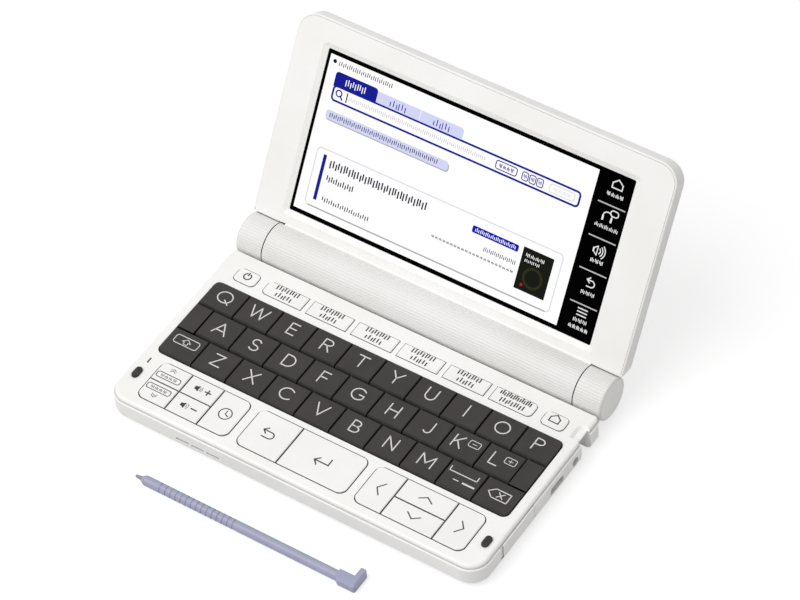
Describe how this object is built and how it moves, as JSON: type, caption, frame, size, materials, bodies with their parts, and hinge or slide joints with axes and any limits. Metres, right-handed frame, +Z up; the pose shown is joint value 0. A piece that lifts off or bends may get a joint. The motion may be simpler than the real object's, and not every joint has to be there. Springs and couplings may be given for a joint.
{
  "type": "electronic dictionary",
  "caption": "Clamshell pocket dictionary: wide lid with a colour touch screen on a barrel hinge, letter keyboard, function keys and a stylus.",
  "frame": {"origin": "on the table under the centre of the lower case's footprint", "axes": "+X right along the hinge, +Y from the keyboard to the hinge, +Z up"},
  "size_m": [0.1494, 0.1545, 0.0823],
  "materials": {
    "shell": "satin white",
    "light_key": "satin white",
    "dark_key": "matte charcoal",
    "rubber": "matte",
    "board": "solder mask",
    "steel": "brushed",
    "cell": "satin jacket",
    "screen": "black glass",
    "stylus": "satin lavender"
  },
  "bodies": {
    "base": {"lower_case": "shell", "keyboard_cover": "shell", "key_mat": "rubber", "main_board": "board", "hinge_pins": "steel", "rubber_pads": "rubber", "case_screws": "steel"},
    "lid": {"lid_cover": "shell", "lid_bezel": "shell", "screen_module": "screen", "batteries": "cell"},
    "battery_door": {"battery_door": "shell"},
    "card_cover": {"card_cover": "shell"},
    "stylus": {"stylus": "stylus"},
    "key_q": {"key_q": "dark_key"},
    "key_w": {"key_w": "dark_key"},
    "key_e": {"key_e": "dark_key"},
    "key_r": {"key_r": "dark_key"},
    "key_t": {"key_t": "dark_key"},
    "key_y": {"key_y": "dark_key"},
    "key_u": {"key_u": "dark_key"},
    "key_i": {"key_i": "dark_key"},
    "key_o": {"key_o": "dark_key"},
    "key_p": {"key_p": "dark_key"},
    "key_a": {"key_a": "dark_key"},
    "key_s": {"key_s": "dark_key"},
    "key_d": {"key_d": "dark_key"},
    "key_f": {"key_f": "dark_key"},
    "key_g": {"key_g": "dark_key"},
    "key_h": {"key_h": "dark_key"},
    "key_j": {"key_j": "dark_key"},
    "key_k": {"key_k": "dark_key"},
    "key_l": {"key_l": "dark_key"},
    "key_shift": {"key_shift": "dark_key"},
    "key_z": {"key_z": "dark_key"},
    "key_x": {"key_x": "dark_key"},
    "key_c": {"key_c": "dark_key"},
    "key_v": {"key_v": "dark_key"},
    "key_b": {"key_b": "dark_key"},
    "key_n": {"key_n": "dark_key"},
    "key_m": {"key_m": "dark_key"},
    "key_space": {"key_space": "dark_key"},
    "key_delete": {"key_delete": "dark_key"},
    "key_power": {"key_power": "light_key"},
    "key_book_1": {"key_book_1": "light_key"},
    "key_book_2": {"key_book_2": "light_key"},
    "key_book_3": {"key_book_3": "light_key"},
    "key_book_4": {"key_book_4": "light_key"},
    "key_book_5": {"key_book_5": "light_key"},
    "key_book_6": {"key_book_6": "light_key"},
    "key_home": {"key_home": "light_key"},
    "key_page": {"key_page": "light_key"},
    "key_volume": {"key_volume": "light_key"},
    "key_history": {"key_history": "light_key"},
    "key_back": {"key_back": "light_key"},
    "key_enter": {"key_enter": "light_key"},
    "key_left": {"key_left": "light_key"},
    "key_up": {"key_up": "light_key"},
    "key_down": {"key_down": "light_key"},
    "key_right": {"key_right": "light_key"}
  },
  "joints": [
    {"name": "lid_hinge", "type": "hinge", "parent": "base", "child": "lid", "pos_m": [0, 0.0382, 0.0106], "axis": [-1, 0, 0], "range_deg": [-121, 15]},
    {"name": "battery_door_slide", "type": "slide", "parent": "lid", "child": "battery_door", "axis": [0, 0.8572, -0.515], "range_m": [0, 0.0048]},
    {"name": "card_cover_pull", "type": "slide", "parent": "base", "child": "card_cover", "axis": [1, 0, 0], "range_m": [0, 0.004]},
    {"name": "stylus_lift", "type": "slide", "parent": "base", "child": "stylus", "axis": [0, 0, 1], "range_m": [0, 0.04]},
    {"name": "key_q_press", "type": "slide", "parent": "base", "child": "key_q", "axis": [0, 0, -1], "range_m": [0, 0.0009], "stiffness_N_per_m": 400},
    {"name": "key_w_press", "type": "slide", "parent": "base", "child": "key_w", "axis": [0, 0, -1], "range_m": [0, 0.0009], "stiffness_N_per_m": 400},
    {"name": "key_e_press", "type": "slide", "parent": "base", "child": "key_e", "axis": [0, 0, -1], "range_m": [0, 0.0009], "stiffness_N_per_m": 400},
    {"name": "key_r_press", "type": "slide", "parent": "base", "child": "key_r", "axis": [0, 0, -1], "range_m": [0, 0.0009], "stiffness_N_per_m": 400},
    {"name": "key_t_press", "type": "slide", "parent": "base", "child": "key_t", "axis": [0, 0, -1], "range_m": [0, 0.0009], "stiffness_N_per_m": 400},
    {"name": "key_y_press", "type": "slide", "parent": "base", "child": "key_y", "axis": [0, 0, -1], "range_m": [0, 0.0009], "stiffness_N_per_m": 400},
    {"name": "key_u_press", "type": "slide", "parent": "base", "child": "key_u", "axis": [0, 0, -1], "range_m": [0, 0.0009], "stiffness_N_per_m": 400},
    {"name": "key_i_press", "type": "slide", "parent": "base", "child": "key_i", "axis": [0, 0, -1], "range_m": [0, 0.0009], "stiffness_N_per_m": 400},
    {"name": "key_o_press", "type": "slide", "parent": "base", "child": "key_o", "axis": [0, 0, -1], "range_m": [0, 0.0009], "stiffness_N_per_m": 400},
    {"name": "key_p_press", "type": "slide", "parent": "base", "child": "key_p", "axis": [0, 0, -1], "range_m": [0, 0.0009], "stiffness_N_per_m": 400},
    {"name": "key_a_press", "type": "slide", "parent": "base", "child": "key_a", "axis": [0, 0, -1], "range_m": [0, 0.0009], "stiffness_N_per_m": 400},
    {"name": "key_s_press", "type": "slide", "parent": "base", "child": "key_s", "axis": [0, 0, -1], "range_m": [0, 0.0009], "stiffness_N_per_m": 400},
    {"name": "key_d_press", "type": "slide", "parent": "base", "child": "key_d", "axis": [0, 0, -1], "range_m": [0, 0.0009], "stiffness_N_per_m": 400},
    {"name": "key_f_press", "type": "slide", "parent": "base", "child": "key_f", "axis": [0, 0, -1], "range_m": [0, 0.0009], "stiffness_N_per_m": 400},
    {"name": "key_g_press", "type": "slide", "parent": "base", "child": "key_g", "axis": [0, 0, -1], "range_m": [0, 0.0009], "stiffness_N_per_m": 400},
    {"name": "key_h_press", "type": "slide", "parent": "base", "child": "key_h", "axis": [0, 0, -1], "range_m": [0, 0.0009], "stiffness_N_per_m": 400},
    {"name": "key_j_press", "type": "slide", "parent": "base", "child": "key_j", "axis": [0, 0, -1], "range_m": [0, 0.0009], "stiffness_N_per_m": 400},
    {"name": "key_k_press", "type": "slide", "parent": "base", "child": "key_k", "axis": [0, 0, -1], "range_m": [0, 0.0009], "stiffness_N_per_m": 400},
    {"name": "key_l_press", "type": "slide", "parent": "base", "child": "key_l", "axis": [0, 0, -1], "range_m": [0, 0.0009], "stiffness_N_per_m": 400},
    {"name": "key_shift_press", "type": "slide", "parent": "base", "child": "key_shift", "axis": [0, 0, -1], "range_m": [0, 0.0009], "stiffness_N_per_m": 400},
    {"name": "key_z_press", "type": "slide", "parent": "base", "child": "key_z", "axis": [0, 0, -1], "range_m": [0, 0.0009], "stiffness_N_per_m": 400},
    {"name": "key_x_press", "type": "slide", "parent": "base", "child": "key_x", "axis": [0, 0, -1], "range_m": [0, 0.0009], "stiffness_N_per_m": 400},
    {"name": "key_c_press", "type": "slide", "parent": "base", "child": "key_c", "axis": [0, 0, -1], "range_m": [0, 0.0009], "stiffness_N_per_m": 400},
    {"name": "key_v_press", "type": "slide", "parent": "base", "child": "key_v", "axis": [0, 0, -1], "range_m": [0, 0.0009], "stiffness_N_per_m": 400},
    {"name": "key_b_press", "type": "slide", "parent": "base", "child": "key_b", "axis": [0, 0, -1], "range_m": [0, 0.0009], "stiffness_N_per_m": 400},
    {"name": "key_n_press", "type": "slide", "parent": "base", "child": "key_n", "axis": [0, 0, -1], "range_m": [0, 0.0009], "stiffness_N_per_m": 400},
    {"name": "key_m_press", "type": "slide", "parent": "base", "child": "key_m", "axis": [0, 0, -1], "range_m": [0, 0.0009], "stiffness_N_per_m": 400},
    {"name": "key_space_press", "type": "slide", "parent": "base", "child": "key_space", "axis": [0, 0, -1], "range_m": [0, 0.0009], "stiffness_N_per_m": 400},
    {"name": "key_delete_press", "type": "slide", "parent": "base", "child": "key_delete", "axis": [0, 0, -1], "range_m": [0, 0.0009], "stiffness_N_per_m": 400},
    {"name": "key_power_press", "type": "slide", "parent": "base", "child": "key_power", "axis": [0, 0, -1], "range_m": [0, 0.0009], "stiffness_N_per_m": 400},
    {"name": "key_book_1_press", "type": "slide", "parent": "base", "child": "key_book_1", "axis": [0, 0, -1], "range_m": [0, 0.0009], "stiffness_N_per_m": 400},
    {"name": "key_book_2_press", "type": "slide", "parent": "base", "child": "key_book_2", "axis": [0, 0, -1], "range_m": [0, 0.0009], "stiffness_N_per_m": 400},
    {"name": "key_book_3_press", "type": "slide", "parent": "base", "child": "key_book_3", "axis": [0, 0, -1], "range_m": [0, 0.0009], "stiffness_N_per_m": 400},
    {"name": "key_book_4_press", "type": "slide", "parent": "base", "child": "key_book_4", "axis": [0, 0, -1], "range_m": [0, 0.0009], "stiffness_N_per_m": 400},
    {"name": "key_book_5_press", "type": "slide", "parent": "base", "child": "key_book_5", "axis": [0, 0, -1], "range_m": [0, 0.0009], "stiffness_N_per_m": 400},
    {"name": "key_book_6_press", "type": "slide", "parent": "base", "child": "key_book_6", "axis": [0, 0, -1], "range_m": [0, 0.0009], "stiffness_N_per_m": 400},
    {"name": "key_home_press", "type": "slide", "parent": "base", "child": "key_home", "axis": [0, 0, -1], "range_m": [0, 0.0009], "stiffness_N_per_m": 400},
    {"name": "key_page_rock", "type": "hinge", "parent": "base", "child": "key_page", "pos_m": [-0.05885, -0.03317, 0.0086], "axis": [1, 0, 0], "range_deg": [-2.5, 2.5], "stiffness_Nm_per_rad": 0.04},
    {"name": "key_volume_rock", "type": "hinge", "parent": "base", "child": "key_volume", "pos_m": [-0.0463, -0.03317, 0.0086], "axis": [1, 0, 0], "range_deg": [-2.5, 2.5], "stiffness_Nm_per_rad": 0.04},
    {"name": "key_history_press", "type": "slide", "parent": "base", "child": "key_history", "axis": [0, 0, -1], "range_m": [0, 0.0009], "stiffness_N_per_m": 400},
    {"name": "key_back_press", "type": "slide", "parent": "base", "child": "key_back", "axis": [0, 0, -1], "range_m": [0, 0.0009], "stiffness_N_per_m": 400},
    {"name": "key_enter_press", "type": "slide", "parent": "base", "child": "key_enter", "axis": [0, 0, -1], "range_m": [0, 0.0009], "stiffness_N_per_m": 400},
    {"name": "key_left_press", "type": "slide", "parent": "base", "child": "key_left", "axis": [0, 0, -1], "range_m": [0, 0.0009], "stiffness_N_per_m": 400},
    {"name": "key_up_press", "type": "slide", "parent": "base", "child": "key_up", "axis": [0, 0, -1], "range_m": [0, 0.0009], "stiffness_N_per_m": 400},
    {"name": "key_down_press", "type": "slide", "parent": "base", "child": "key_down", "axis": [0, 0, -1], "range_m": [0, 0.0009], "stiffness_N_per_m": 400},
    {"name": "key_right_press", "type": "slide", "parent": "base", "child": "key_right", "axis": [0, 0, -1], "range_m": [0, 0.0009], "stiffness_N_per_m": 400}
  ]
}
